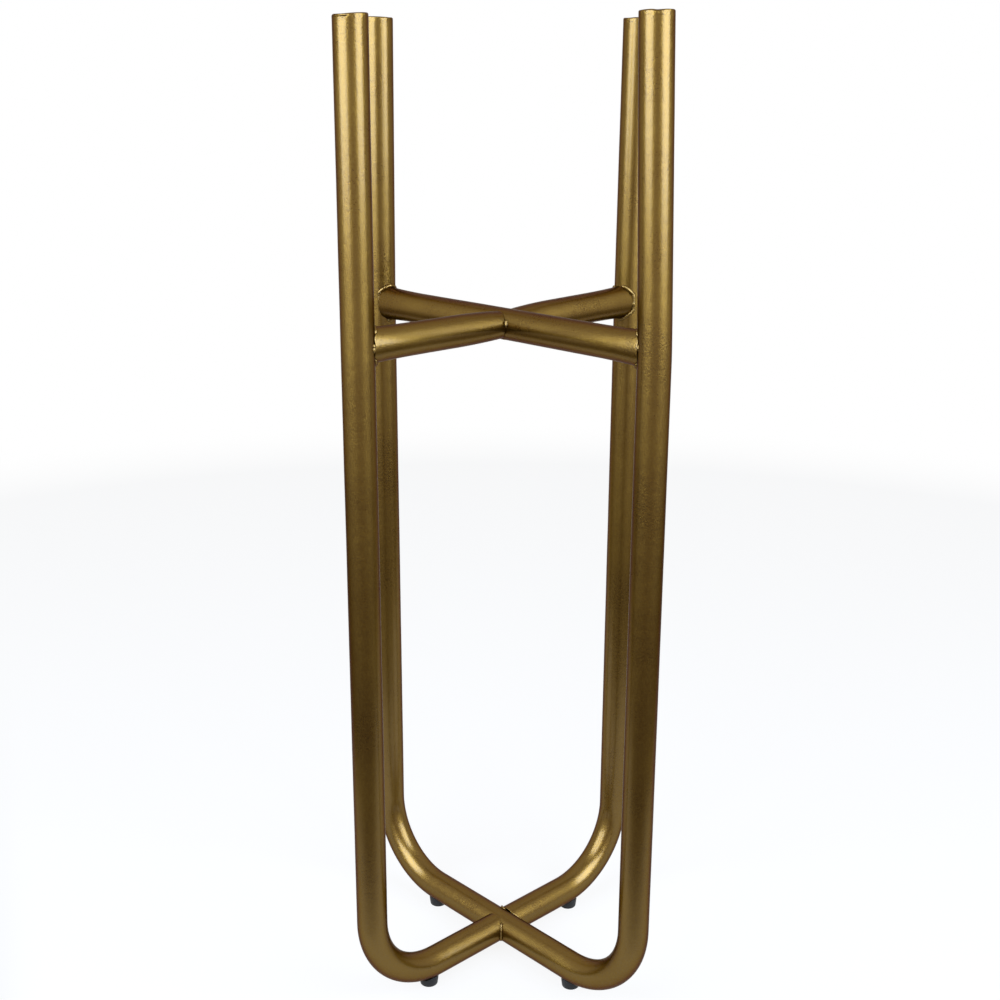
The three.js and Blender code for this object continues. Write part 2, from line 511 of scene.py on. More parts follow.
class FinishDraft(NodeDraft):
    """A material in the making: its fields are the shader and the object's coordinates too."""

    def __init__(self, name: str) -> None:
        """Starts the material.

        Args:
            name: the material's name.
        """
        self.material = bpy.data.materials.new(name)
        self.material.use_nodes = True
        super().__init__(self.material.node_tree)
        self.shader = next(node for node in self.tree.nodes if node.type == "BSDF_PRINCIPLED")
        self.place = self.flow("ShaderNodeTexCoord", "Object")

    def effect(self, group: EffectGroup, **numbers: float) -> Flow:
        """Places a shared effect, with this finish's own numbers."""
        inputs = {"Place": self.place, **{name.title(): numbers[name] for name in numbers}}
        return self.flow("ShaderNodeGroup", 0, inputs, node_tree=group.tree)

    def relief(self, height: Flow) -> Flow:
        """The normal of a surface with fine relief of that height in metres."""
        return self.flow("ShaderNodeBump", 0, {"Height": height, "Distance": 1.0, "Strength": 1.0})

    def finish(self, inputs: dict[str, Any]) -> Material:
        """Feeds the shader and returns the material."""
        self.feed(self.shader, inputs)
        return self.material


def seen_rays(draft: NodeDraft) -> Flow:
    """Tells what the eye sees from what only gives light.

    Args:
        draft: the tree that the nodes go into.

    Returns:
        One for what is seen straight, in a gloss or through glass, and zero for the rest.
    """
    rays = draft.node("ShaderNodeLightPath")
    seen = Flow(draft, rays.outputs["Is Camera Ray"])
    for kind in ("Is Glossy Ray", "Is Transmission Ray"):
        seen = draft.math("MAXIMUM", seen, Flow(draft, rays.outputs[kind]))
    return seen


@dataclass(frozen=True)
class GoldPaint:
    """Satin metallic gold, sprayed over steel: the tubes, and with other values the welds.

    The clear coat has one weight where it faces the eye and one at a grazing angle, and the fade
    is where it goes from one to the other. Sizes, spacings and heights are in metres.
    """

    name: str = "satin_gold_paint"
    colour: Triple = (0.155, 0.089, 0.0125)
    thin_colour: Triple = (0.127, 0.069, 0.0085)
    speck_colour: Triple = (0.196, 0.128, 0.027)
    speck_strength: float = 0.45
    edge_tint: Triple = (0.27, 0.215, 0.09)
    roughness: float = 0.31
    roughness_spread: float = 0.05
    grain_size: float = 0.0011
    grain_height: float = 0.00005
    cloud_size: float = 0.045
    ripple_size: float = 0.006
    ripple_height: float = 0.00006
    pit_colour: Triple = (0.035, 0.022, 0.010)
    pit_strength: float = 0.8
    pit_spacing: float = 0.006
    pit_share: float = 0.012
    pit_radius: float = 0.0006
    pit_depth: float = 0.00025
    coat_fade: tuple[float, float] = (0.25, 0.60)
    coat_weights: tuple[float, float] = (0.5, 0.14)
    coat_roughness: float = 0.2

    def material(self) -> Material:
        """Makes the material.

        Returns:
            A painted metal whose tone, gloss and fine relief vary over the surface.
        """
        draft = FinishDraft(self.name)
        grain = draft.effect(paint_grain(), size=self.grain_size)
        cloud = draft.effect(cloudiness(), size=self.cloud_size)
        ripple = draft.effect(cloudiness(), size=self.ripple_size)
        pits = draft.effect(
            sparse_pits(), spacing=self.pit_spacing, share=self.pit_share, radius=self.pit_radius
        )
        tone = draft.mix_colour(cloud, self.thin_colour, self.colour)
        tone = draft.mix_colour(grain * self.speck_strength, tone, self.speck_colour)
        tone = draft.mix_colour(pits * self.pit_strength, tone, self.pit_colour)
        gloss = self.roughness + (cloud - 0.5) * self.roughness_spread
        gloss = gloss + (grain - 0.5) * (self.roughness_spread * 1.4) + pits * 0.3
        height = grain * self.grain_height + ripple * self.ripple_height - pits * self.pit_depth
        facing = draft.flow("ShaderNodeLayerWeight", "Facing", {"Blend": 0.5})
        return draft.finish({
            "Base Color": tone, "Roughness": draft.math("MINIMUM", gloss, 0.9),
            "Normal": draft.relief(height), "Metallic": 1.0, "Specular Tint": self.edge_tint,
            "Coat Weight": draft.remap(facing, *self.coat_fade, *self.coat_weights),
            "Coat Roughness": self.coat_roughness,
        })


@dataclass(frozen=True)
class BlackRubber:
    """The feet: moulded black rubber, satin, with a faint mould texture and grey dust low down."""

    name: str = "moulded_black_rubber"
    colours: tuple[Triple, Triple] = ((0.0045, 0.0045, 0.0048), (0.011, 0.011, 0.0115))
    dust_colour: Triple = (0.09, 0.085, 0.078)
    dust_height: float = 0.0035
    grain_size: float = 0.0005
    cloud_size: float = 0.004

    def material(self) -> Material:
        """Makes the material.

        Returns:
            A dark satin rubber with its fine relief.
        """
        draft = FinishDraft(self.name)
        grain = draft.effect(paint_grain(), size=self.grain_size)
        cloud = draft.effect(cloudiness(), size=self.cloud_size)
        _, _, height = draft.separate(draft.place)
        dust = draft.remap(height, 0.0, self.dust_height, 0.6, 0.0) * cloud
        tone = draft.mix_colour(cloud, *self.colours)
        return draft.finish({
            "Base Color": draft.mix_colour(dust * 0.25, tone, self.dust_colour),
            "Roughness": 0.50 + cloud * 0.12 + dust * 0.2, "Specular IOR Level": 0.3,
            "Normal": draft.relief(grain * 0.00003 + cloud * 0.00004),
        })


@dataclass(frozen=True)
class Surroundings:
    """The studio as it is seen: white behind the stand, and a plain warm room on other sides.

    A direction is given by its +Y part, towards the back, from -1 to 1.
    """

    behind: Triple = (1.0, 1.0, 1.0)
    side_wall: Triple = (0.88, 0.81, 0.70)
    front_wall: Triple = (0.88, 0.79, 0.66)
    turns_aside: tuple[float, float] = (-0.95, -0.10)
    turns_white: tuple[float, float] = (0.84, 0.93)

    def whiteness(self, draft: NodeDraft, towards_back: Flow) -> Flow:
        """One in the directions that are white, and zero where the room is seen."""
        return draft.smooth(towards_back, *self.turns_white)

    def walls(self, draft: NodeDraft, towards_back: Flow) -> Flow:
        """Draws the colour that is seen far off.

        Args:
            draft: the tree that the nodes go into.
            towards_back: the direction.

        Returns:
            The colour.
        """
        aside = draft.smooth(towards_back, *self.turns_aside)
        room = draft.mix_colour(aside, self.front_wall, self.side_wall)
        return draft.mix_colour(self.whiteness(draft, towards_back), room, self.behind)


@dataclass(frozen=True)
class PaleFloor:
    """The paper that the stand is pictured on. It keeps the shadow and fades off evenly.

    What is seen of it is partly its light and partly a plain tone: the share is how much is the
    tone. The tone is shaded near the stand, except on the white side as the viewer sees it, and
    ends in the surroundings. The pairs of distances from the middle or the front are in metres.
    """

    name: str = "pale_sweep"
    colour: Triple = (0.66, 0.66, 0.66)
    viewer: Triple = (0.017, -0.847, 0.0)
    shaded: Triple = (0.185, 0.132, 0.083)
    shade_ends: tuple[float, float] = (0.55, 2.4)
    shadow_ends: tuple[float, float] = (0.25, 1.5)
    front_edge: tuple[float, float] = (-0.34, -0.09)
    near_share: float = 0.88
    shaded_share: float = 0.96
    cloud_size: float = 0.9
    cloud_depth: float = 0.985

    def material(self, around: Surroundings) -> Material:
        """Makes the material.

        Args:
            around: the surroundings that the floor fades into.

        Returns:
            A matt paper that keeps shadows near the stand and meets the surroundings far off.
        """
        draft = FinishDraft(self.name)
        cloud = draft.effect(cloudiness(), size=self.cloud_size)
        darker = tuple(channel * self.cloud_depth for channel in self.colour)
        paper = draft.finish({
            "Base Color": draft.mix_colour(cloud, darker, self.colour), "Roughness": 0.85,
            "Specular IOR Level": 0.2,
        })
        offset = draft.vector_math("SUBTRACT", {0: draft.place, 1: self.viewer})
        _, towards_back, _ = draft.separate(draft.vector_math("NORMALIZE", {0: offset}))
        _, depth, _ = draft.separate(draft.place)
        white = around.whiteness(draft, towards_back) * draft.smooth(depth, *self.front_edge)
        length = draft.vector_math("LENGTH", {0: draft.place}, "Value")
        far = draft.smooth(length, *self.shade_ends)
        tone = draft.mix_colour(far, self.shaded, around.walls(draft, towards_back))
        tone = draft.mix_colour(white, tone, around.behind)
        share = self.shaded_share + (self.near_share - self.shaded_share) * white
        share = draft.math("MAXIMUM", share, draft.smooth(length, *self.shadow_ends))
        glow = draft.flow("ShaderNodeEmission", 0, {"Color": tone, "Strength": 1.0})
        lit = Flow(draft, draft.shader.outputs[0])
        inputs = {0: share * seen_rays(draft), 1: lit, 2: glow}
        mixed = draft.flow("ShaderNodeMixShader", 0, inputs)
        draft.feed(draft.tree.nodes["Material Output"], {"Surface": mixed})
        return paper


# ---------------- tubes


@dataclass(frozen=True)
class TubeEnd:
    """Where a tube ends along its axis, and how that end is cut.

    A coped end meets another tube. Its rim is hollowed to that tube's round, but no deeper than
    the shop's shallow cut, which is given by how far the rim stays from the other tube's axis.
    The press that holds it for welding leaves it a little taller than it is wide: its flare.
    The lean, outwards and sideways, is that of the leg above the brace.
    """

    at: float
    rim: float | None = None
    meets_upright: bool = True
    flare: float = 0.0
    lean: tuple[float, float] = (0.0, 0.0)


@dataclass(frozen=True)
class TubeForm:
    """One length of tube. It turns up at its half span, which is far off in a straight tube."""

    start: TubeEnd
    end: TubeEnd
    seed: float
    half_span: float = 1000.0
    tilt: float = 0.0


class Shop:
    """Makes pieces of one finish with one Geometry Nodes group, which its own kind draws."""

    def __init__(self, sizes: StandSizes, paint: Material) -> None:
        """Draws the group."""
        self.sizes, self.paint = sizes, paint
        self.tree = self._draw()


class TubeShop(Shop):
    """Cuts, bends and copes every tube of the stand with one Geometry Nodes group.

    A wave is given by its cycles a metre and its height in millimetres.
    """

    SIDES = 72
    STRAIGHT_STEP = 7.0
    BEND_STEP = 2.6
    BORE_STEP = 18.0
    END_STEPS = (0.0, 0.9, 2.4, 4.5, 7.0, 10.0)
    RIM_ROUND = 0.28
    RIM_CLEAR = 0.5
    SLOW_WAVE = (24.0, 0.16)
    QUICK_WAVE = (130.0, 0.05)
    WAVE_FADE = 12.0
    COPE_FADE = 9.0
    COPE_GAP = 0.04
    FLARE_FADE = 34.0
    FLARE_GIVE = 0.8
    LEAN_EASE = 14.0

    def _stations(self, form: TubeForm) -> list[float]:
        """Places along the tube where it has a ring: close together in the bends and the ends.

        Args:
            form: the tube.

        Returns:
            Distances along its axis, in order.
        """
        start, end = form.start.at, form.end.at
        bend_start = form.half_span - self.sizes.bend_radius
        bend_end = bend_start + math.pi / 2 * self.sizes.bend_radius
        marks = {start, end, bend_start, bend_end, -bend_start, -bend_end}
        for step in self.END_STEPS:
            marks |= {start + step, end - step}
        ordered = sorted(mark for mark in marks if start <= mark <= end)
        stations: list[float] = []
        for here, there in zip(ordered, ordered[1:]):
            bent = bend_start < abs(here + there) / 2 < bend_end
            step = self.BEND_STEP if bent else self.STRAIGHT_STEP
            count = max(1, round((there - here) / step))
            stations += [here + (there - here) * part / count for part in range(count)]
        return [*stations, ordered[-1]]

    def _wall_section(self, form: TubeForm) -> list[tuple[float, float]]:
        """The closed outline of the tube's wall: along the outside, round a rim, and back inside.

        Args:
            form: the tube.

        Returns:
            Points of distance along the axis and distance from it, in millimetres.
        """
        outer, round_off = self.sizes.tube_radius, self.RIM_ROUND
        bore = outer - self.sizes.tube_wall
        first, last = form.start.at, form.end.at
        rim = [
            (round_off * (1 - math.sin(swing)), outer - round_off + round_off * math.cos(swing))
            for swing in (math.radians(30.0), math.radians(60.0))
        ]
        rim += [(0.0, outer - round_off), (0.0, bore + round_off), (round_off, bore)]
        ends = (first + self.RIM_CLEAR, last - self.RIM_CLEAR)
        inside = [mark for mark in self._stations(form) if ends[0] < mark < ends[1]]
        outside = [first + round_off, *inside, last - round_off]
        outline = [(mark, outer) for mark in outside]
        outline += [(last - inset, radius) for inset, radius in rim]
        count = max(2, round((last - first) / self.BORE_STEP))
        length = last - first - 2 * round_off
        outline += [(last - round_off - length * part / count, bore) for part in range(1, count)]
        outline += [(first + inset, radius) for inset, radius in reversed(rim)]
        return outline

    def _draw(self) -> FormTree:
        """Draws the group: a grid is rolled into the wall, coped at its ends, and bent.

        Returns:
            The group, which reads the wall's outline from the mesh that it starts from.
        """
        names = ["Points", "Half span", "Height", "Angle", "Seed", "Lean from", "Tilt"]
        for which in ("Start", "End"):
            own = ("rim", "coped", "upright", "flare", "lean out", "lean side")
            names += [which, *(f"{which} {name}" for name in own)]
        tree = FormTree("bent_tube", names)
        given = tree.given
        radius, bend = self.sizes.tube_radius * MM, self.sizes.bend_radius * MM

        grid = tree.flow("GeometryNodeMeshGrid", "Mesh", {
            "Size X": 1.0, "Size Y": 1.0, "Vertices X": self.SIDES + 1,
            "Vertices Y": given["Points"] + 1.0,
        })
        across, down, _ = tree.separate(tree.flow("GeometryNodeInputPosition", 0))
        turn = (across + 0.5) * math.tau
        index = tree.math("ROUND", (down + 0.5) * given["Points"])
        index = tree.math("MODULO", index, given["Points"])
        place = tree.flow("GeometryNodeInputPosition", 0)
        inputs = {0: given["Geometry"], "Value": place, "Index": index}
        outline = tree.flow("GeometryNodeSampleIndex", 0, inputs, data_type="FLOAT_VECTOR")
        along, from_axis, _ = tree.separate(outline)

        sine, cosine = tree.math("SINE", turn), tree.math("COSINE", turn)
        unrolled = tree.combine(along, from_axis * sine, from_axis * cosine + given["Seed"])
        slow, quick = (
            (tree.noise(unrolled, cycles, 2.0) - 0.5) * (height * MM)
            for cycles, height in (self.SLOW_WAVE, self.QUICK_WAVE)
        )
        to_start, to_end = abs(along - given["Start"]), abs(along - given["End"])
        calm = tree.remap(tree.math("MINIMUM", to_start, to_end), 0.0, self.WAVE_FADE * MM)
        from_axis = from_axis + (slow + quick) * calm
        near_start, near_end = (
            tree.remap(distance, 0.0, self.FLARE_FADE * MM, 1.0, 0.0)
            for distance in (to_start, to_end)
        )
        flare = near_start * near_start * given["Start flare"]
        flare = flare + near_end * near_end * given["End flare"]
        side_reach = from_axis * sine * (1.0 - flare * self.FLARE_GIVE)
        top_reach = from_axis * cosine * (1.0 + flare)

        for which, sign in (("Start", 1.0), ("End", -1.0)):
            upright = given[f"{which} upright"]
            lateral = side_reach * upright + top_reach * (1.0 - upright)
            clear = (radius + self.COPE_GAP * MM) ** 2
            deep = tree.math("SQRT", tree.math("MAXIMUM", clear - lateral * lateral, 0.0))
            shift = tree.math("MAXIMUM", deep - given[f"{which} rim"], 0.0)
            near = abs(along - given[which])
            fade = tree.remap(near, 0.0, self.COPE_FADE * MM, 1.0, 0.0)
            along = along + shift * fade * given[f"{which} coped"] * sign

        flat = given["Half span"] - bend
        past = abs(along) - flat
        swing = tree.remap(past / bend, 0.0, math.pi / 2, 0.0, math.pi / 2)
        rise = tree.math("MAXIMUM", past - math.pi / 2 * bend, 0.0)
        swing_sine, swing_cosine = tree.math("SINE", swing), tree.math("COSINE", swing)
        out = tree.math("MINIMUM", abs(along), flat) + swing_sine * (bend - top_reach)
        side = tree.math("SIGN", along)
        up = (1.0 - swing_cosine) * bend + rise + swing_cosine * top_reach
        up = up + along * given["Tilt"]
        ease = self.LEAN_EASE * MM
        above = tree.math("SMOOTH_MAX", up - given["Lean from"], 0.0, ease)
        at_end = tree.math("GREATER_THAN", side, 0.0)
        lean_out, lean_side = (
            given[f"Start lean {way}"] * (1.0 - at_end) + given[f"End lean {way}"] * at_end
            for way in ("out", "side")
        )
        out = (out + above * lean_out) * side
        position = tree.combine(out, side_reach + above * lean_side * side, up)
        bent = tree.flow("GeometryNodeSetPosition", 0, {0: grid, "Position": position})
        turned = tree.combine(0.0, 0.0, given["Angle"])
        tree.finish(bent, turned, tree.combine(0.0, 0.0, given["Height"]))
        return tree

    def cut(self, node: str, form: TubeForm, height: float, angle: float) -> None:
        """Makes one tube and puts it in its place.

        Args:
            node: the frame's node that it stands for.
            form: its length, bends and cuts.
            height: how high its first straight run lies, in millimetres.
            angle: the direction of that run, in radians.
        """
        outline = self._wall_section(form)
        start = bpy.data.meshes.new(f"{node}_outline")
        start.from_pydata([(along * MM, out * MM, 0.0) for along, out in outline], [], [])
        numbers = {
            "Points": len(outline), "Half span": form.half_span * MM, "Height": height * MM,
            "Angle": angle, "Seed": form.seed, "Tilt": form.tilt,
            "Lean from": (self.sizes.brace_axis - self.sizes.base_axis) * MM,
        }
        for which, end in (("Start", form.start), ("End", form.end)):
            numbers |= {
                which: end.at * MM, f"{which} rim": (end.rim or 0.0) * MM,
                f"{which} coped": end.rim is not None, f"{which} upright": end.meets_upright,
                f"{which} flare": end.flare, f"{which} lean out": end.lean[0],
                f"{which} lean side": end.lean[1],
            }
        place_piece(self.tree.grow(node, self.paint, numbers, start), node)


# ---------------- welds


@dataclass(frozen=True)
class WeldRun:
    """One pass of the torch round a joint: from and to in degrees, and how thick it lies."""

    start: float
    end: float
    thickness: float = 1.25


class WeldShop(Shop):
    """Lays weld beads along the line where one tube butts on the round of another.

    The grit and the wander are noises: cycles a metre, and how often it changes in one run.
    """

    STEP = 0.34
    SIDES = 14
    LIFT = 0.5
    TUCK = 0.9
    LEAST_REACH = 6.6
    DRIFT = 0.7
    RIPPLE = 1.35
    TAPER = 1.5
    ROUGHNESS = 0.22
    GRIT = 900.0
    WANDER = 9.0
    SLACK = 1.15
    SEED_STEP = 7.7

    def _draw(self) -> FormTree:
        """Draws the group: a line of points becomes the joint's curve, then a rippled bead.

        Returns:
            The group.
        """
        tree = FormTree("weld_bead", (
            "Points", "From", "To", "Rim", "Thickness", "Seed", "Height", "Forward", "Right",
            "Angle", "Tip", "Flare",
        ))
        given = tree.given
        reach = (self.sizes.tube_radius + self.LIFT) * MM

        line = tree.flow("GeometryNodeMeshLine", 0, {"Count": given["Points"]})
        curve = tree.flow("GeometryNodeMeshToCurve", 0, {0: line})
        part = tree.flow("GeometryNodeSplineParameter", 0)
        turn = given["From"] + (given["To"] - given["From"]) * part
        sine, cosine = tree.math("SINE", turn), tree.math("COSINE", turn)
        out = tree.math("MAXIMUM", abs(cosine) * reach, given["Rim"] - self.TUCK * MM)
        room = tree.math("MAXIMUM", reach * reach - out * out, (self.LEAST_REACH * MM) ** 2)
        steep = tree.math("MAXIMUM", abs(sine), 0.05)
        radial = tree.math("MINIMUM", tree.math("SQRT", room) / steep, reach)
        wander = tree.combine(part * self.WANDER, given["Seed"], 0.0)
        out = out + (tree.noise(wander, 1.6, 2.0) - 0.5) * (self.DRIFT * MM)
        side = radial * sine * (1.0 - given["Flare"] * TubeShop.FLARE_GIVE)
        up = radial * cosine * (1.0 + given["Flare"])
        inputs = {0: curve, "Position": tree.combine(out, side, up)}
        curve = tree.flow("GeometryNodeSetPosition", 0, inputs)

        swell = tree.noise(wander, 2.6, 2.0)
        pulse = tree.flow("GeometryNodeSplineParameter", "Length") / (self.RIPPLE * MM)
        pulse = pulse + tree.noise(wander, 5.0, 1.0) * 1.6
        beat = abs(tree.math("SINE", pulse * math.pi))
        ends = tree.math("MINIMUM", part, 1.0 - part) * given["Points"] * (self.STEP * MM)
        taper = tree.math("POWER", tree.remap(ends, 0.0, self.TAPER * MM, 0.04), 0.5)
        size = (0.72 + swell * 0.5) * (0.9 + beat * 0.14) * taper
        curve = tree.flow("GeometryNodeSetCurveRadius", 0, {0: curve, "Radius": size})
        inputs = {"Resolution": self.SIDES, "Radius": given["Thickness"]}
        profile = tree.flow("GeometryNodeCurvePrimitiveCircle", 0, inputs)
        inputs = {0: curve, "Profile Curve": profile, "Fill Caps": True}
        node = tree.node("GeometryNodeCurveToMesh", inputs)
        if "Scale" in node.inputs:
            tree.feed(node, {"Scale": size})
        place = tree.flow("GeometryNodeInputPosition", 0)
        rough = (tree.noise(place, self.GRIT, 2.0) - 0.5) * (self.ROUGHNESS * MM)
        normal = tree.flow("GeometryNodeInputNormal", 0)
        push = tree.vector_math("SCALE", {0: normal, "Scale": rough})
        inputs = {0: Flow(tree, node.outputs[0]), "Offset": push}
        bead = tree.flow("GeometryNodeSetPosition", 0, inputs)
        turned = tree.combine(given["Tip"], 0.0, given["Angle"])
        tree.finish(bead, turned, tree.combine(given["Forward"], given["Right"], given["Height"]))
        return tree

    def lay(
        self, node: str, runs: Sequence[WeldRun], rim: float, place: Triple, angle: float,
        level: bool = False, flare: float = 0.0,
    ) -> None:
        """Lays the runs of one joint and puts them in their place.

        Args:
            node: the frame's node that the bead stands for.
            runs: the passes of the torch, in degrees round the butting tube.
            rim: how far that tube's rim stays from the other's axis, in millimetres.
            place: where the two axes meet, in millimetres.
            angle: the direction of the butting tube from there, in radians.
            level: whether the tube that it butts on lies level rather than upright.
            flare: how much taller the butting tube's end is than it is wide.
        """
        passes = []
        for number, run in enumerate(runs):
            turned = math.radians(abs(run.end - run.start))
            length = turned * self.sizes.tube_radius * self.SLACK
            numbers = {
                "Points": max(8, round(length / self.STEP)), "From": math.radians(run.start),
                "To": math.radians(run.end), "Rim": rim * MM, "Thickness": run.thickness * MM,
                "Seed": angle * 3 + number * self.SEED_STEP + place[2], "Angle": angle,
                "Forward": place[0] * MM, "Right": place[1] * MM, "Height": place[2] * MM,
                "Tip": math.pi / 2 if level else 0.0, "Flare": flare,
            }
            passes.append(self.tree.grow(f"{node}_{number}", self.paint, numbers))
        place_piece(joined(node, passes), node)


# ---------------- feet and caps


@dataclass(frozen=True)
class RubberFoot:
    """A tapered push-in foot. Its head hugs the tube; its stem and barb sit inside the tube."""

    sizes: StandSizes
    leg: Leg
    finish: Material
    sides: int = 64
    taper: float = 0.55
    edge_round: float = 0.9
    flange_round: float = 0.5
    tube_gap: float = 0.05
    dish: float = 0.35
    stem_radius: float = 2.9
    barb_radius: float = 4.3
    barb_height: float = 3.6

    def _rings(self) -> list[np.ndarray]:
        """The foot's rings of points from its underside up, centred on its own axis.

        Returns:
            The rings.
        """
        around = circle(self.sides)
        head, stem = self.sizes.foot_radius, self.stem_radius
        axis = self.sizes.base_axis
        hug = self.sizes.tube_radius + self.tube_gap
        low = head - self.taper - self.edge_round
        profile = [
            (low * 0.55, self.dish), (low * 0.8, self.dish * 0.9), (low * 0.88, 0.06),
            (low * 0.92, 0.0), (low, 0.0),
        ]
        for angle in (18, 36, 54, 72, 90):
            swing = math.radians(angle)
            out = low + self.edge_round * math.sin(swing)
            profile.append((out, self.edge_round * (1 - math.cos(swing))))
        rings = [ring(around, out, up) for out, up in profile]

        def under_tube(radius: float, gap: float) -> np.ndarray:
            """The heights of a ring that stays this far under the tube."""
            return axis - np.sqrt(hug**2 - (radius * np.sin(around)) ** 2) - gap

        for share, radius, gap in ((0.5, head - 0.2, 0.0), (1.0, head, self.flange_round)):
            level = self.edge_round + (under_tube(radius, gap) - self.edge_round) * share
            rings.append(ring(around, radius, level))
        for radius, gap in ((head - 0.12, 0.14), (head - 0.4, 0.02), (stem, -0.02)):
            rings.append(ring(around, radius, under_tube(radius, gap)))
        inside = axis - self.sizes.tube_radius + self.sizes.tube_wall + 0.3
        for radius, up in (
            (stem, 0.0), (self.barb_radius, 0.05), (self.barb_radius, 0.6),
            (stem * 0.8, self.barb_height), (stem * 0.5, self.barb_height + 0.3),
        ):
            rings.append(ring(around, radius, inside + up))
        return rings

    def build(self) -> None:
        """Makes the foot under its tube."""
        node = f"rubber_foot_{self.leg.label}"
        mesh = ring_mesh(node, self._rings())
        distance = self.sizes.foot_distance * MM
        turn = Matrix.Rotation(self.leg.angle, 4, "Z")
        mesh.transform(turn @ Matrix.Translation((distance, 0.0, 0.0)))
        mesh.materials.append(self.finish)
        place_piece(mesh, node)


@dataclass(frozen=True)
class GroundTop:
    """How one leg's top was ground by hand.

    The leg may be a little shorter than the tallest. Its face slopes up towards a compass
    direction, in degrees from +X. Each dip is where the grinder bit deeper into the edge: its
    direction and width in degrees, and its depth.
    """

    shorter: float
    slope: float
    high_side: float
    dips: tuple[Triple, ...]


@dataclass(frozen=True)
class HandWork:
    """How the joints and the top of one leg were made by hand.

    The lean is how far the weld drew the leg's top outwards and sideways, for each millimetre
    above the brace. The rim is how far the brace's cut stays from the leg's axis, the flare how
    much taller its end was pressed, and the rise how far it sits too high. The half braces and
    the J tubes have welds at the crossings too, where the brace's end was pressed flatter.
    """

    top: GroundTop
    lean: tuple[float, float]
    rim: float
    flare: float
    rise: float
    brace_weld: tuple[WeldRun, ...]
    crossing_flare: float = 0.0
    brace_crossing: tuple[WeldRun, ...] = ()
    base_crossing: tuple[WeldRun, ...] = ()


CROSSING_RIM = 5.4
HAND_WORK = {
    Leg.FRONT_LEFT: HandWork(
        GroundTop(3.0, 0.9, 0.0, ((-118.0, 34.0, 0.30),)), (-0.0081, -0.0078), 5.6, 0.09, 0.0,
        (WeldRun(-48, 232), WeldRun(-106, -76, 1.15)), -0.13,
        (WeldRun(-50, 45, 0.9), WeldRun(148, 178, 1.25), WeldRun(236, 300, 0.9)),
        (WeldRun(-40, 30, 0.8), WeldRun(132, 215, 0.7)),
    ),
    Leg.FRONT_RIGHT: HandWork(
        GroundTop(1.0, 0.15, 0.0, ((-88.0, 16.0, 0.55), (-178.0, 40.0, 0.45))),
        (-0.0340, -0.0056), 5.6, 0.12, 0.7, (WeldRun(132, 408), WeldRun(70, 92, 1.2)),
    ),
    Leg.REAR_LEFT: HandWork(
        GroundTop(0.0, 0.30, 180.0, ((-20.0, 40.0, 0.35),)),
        (-0.0053, -0.0056), 7.6, 0.13, -0.4, (WeldRun(-96, 196),),
    ),
    Leg.REAR_RIGHT: HandWork(
        GroundTop(0.0, 0.25, 0.0, ((-150.0, 30.0, 0.40), (-40.0, 18.0, 0.25))),
        (0.0, -0.0069), 5.4, 0.11, 2.2, (WeldRun(14, 332),), -0.18,
        (WeldRun(-60, 120), WeldRun(130, 220)), (WeldRun(-30, 30, 0.8), WeldRun(96, 205, 0.65)),
    ),
}


@dataclass(frozen=True)
class GroundCap:
    """The disc that closes a leg's top. Its weld was ground by hand, so its edge is uneven."""

    sizes: StandSizes
    leg: Leg
    finish: Material
    sides: int = 120
    edge_round: float = 1.0
    unevenness: float = 0.35
    lap: float = 0.6
    proud: float = 0.008

    def _rings(self) -> list[np.ndarray]:
        """The cap's rings from its lap over the tube up, centred on its own axis.

        Returns:
            The rings.
        """
        random = np.random.default_rng(int(self.leg.value[1]) % 97)
        around = circle(self.sides)
        waves = [
            (random.uniform(0.3, 1) / order, random.uniform(0, math.tau), order)
            for order in (2, 3, 5, 8, 13)
        ]
        ground = sum(size * np.cos(order * around + phase) for size, phase, order in waves)
        edge = self.edge_round * (1 + self.unevenness * ground)
        work = HAND_WORK[self.leg].top
        bitten = np.zeros_like(around)
        for direction, width, depth in work.dips:
            off = (around - math.radians(direction) + math.pi) % math.tau - math.pi
            bitten += depth * np.exp(-((off / math.radians(width)) ** 2))
        radius = self.sizes.tube_radius
        top, low = self.sizes.stand_top - work.shorter, self.sizes.tube_top - work.shorter
        uphill = np.cos(around - math.radians(work.high_side))
        rings: list[np.ndarray] = []

        def add(out: Any, up: Any, share: float = 1.0) -> None:
            """Adds a ring. The share is how much of the slope and the dips it takes."""
            slope = work.slope * 0.5 * (out * uphill / radius - 1.0)
            rings.append(ring(around, out, up + share * (slope - bitten * (out / radius))))

        start = low - self.lap
        for out, up in ((-0.3, start), (-0.02, start + 0.02)):
            add(radius + out, up, 0.0)
        for up in (start + 0.08, start + 0.12, low):
            add(radius + self.proud, up, 0.0)
        add(radius + self.proud / 2, top - edge - 0.25, 0.6)
        for angle in range(0, 91, 15):
            swing = math.radians(angle)
            add(radius - edge * (1 - math.cos(swing)), top - edge * (1 - math.sin(swing)))
        for share in (0.78, 0.6, 0.4, 0.2):
            add(radius * share, top + 0.05 * ground * share)
        return rings

    def build(self) -> None:
        """Makes the cap on its leg."""
        node = f"top_cap_{self.leg.label}"
        cosine, sine = math.cos(self.leg.angle), math.sin(self.leg.angle)
        turn = np.array([[cosine, sine, 0.0], [-sine, cosine, 0.0], [0.0, 0.0, 1.0]])
        lean = np.array([[*HAND_WORK[self.leg].lean, 0.0]])
        place = np.array([[self.sizes.half_span(self.leg), 0.0, 0.0]])
        mesh = ring_mesh(node, [
            level + (lean * (level[:, 2:3] - self.sizes.brace_axis) + place) @ turn
            for level in self._rings()
        ])
        mesh.materials.append(self.finish)
        place_piece(mesh, node)


# ---------------- sub-assemblies


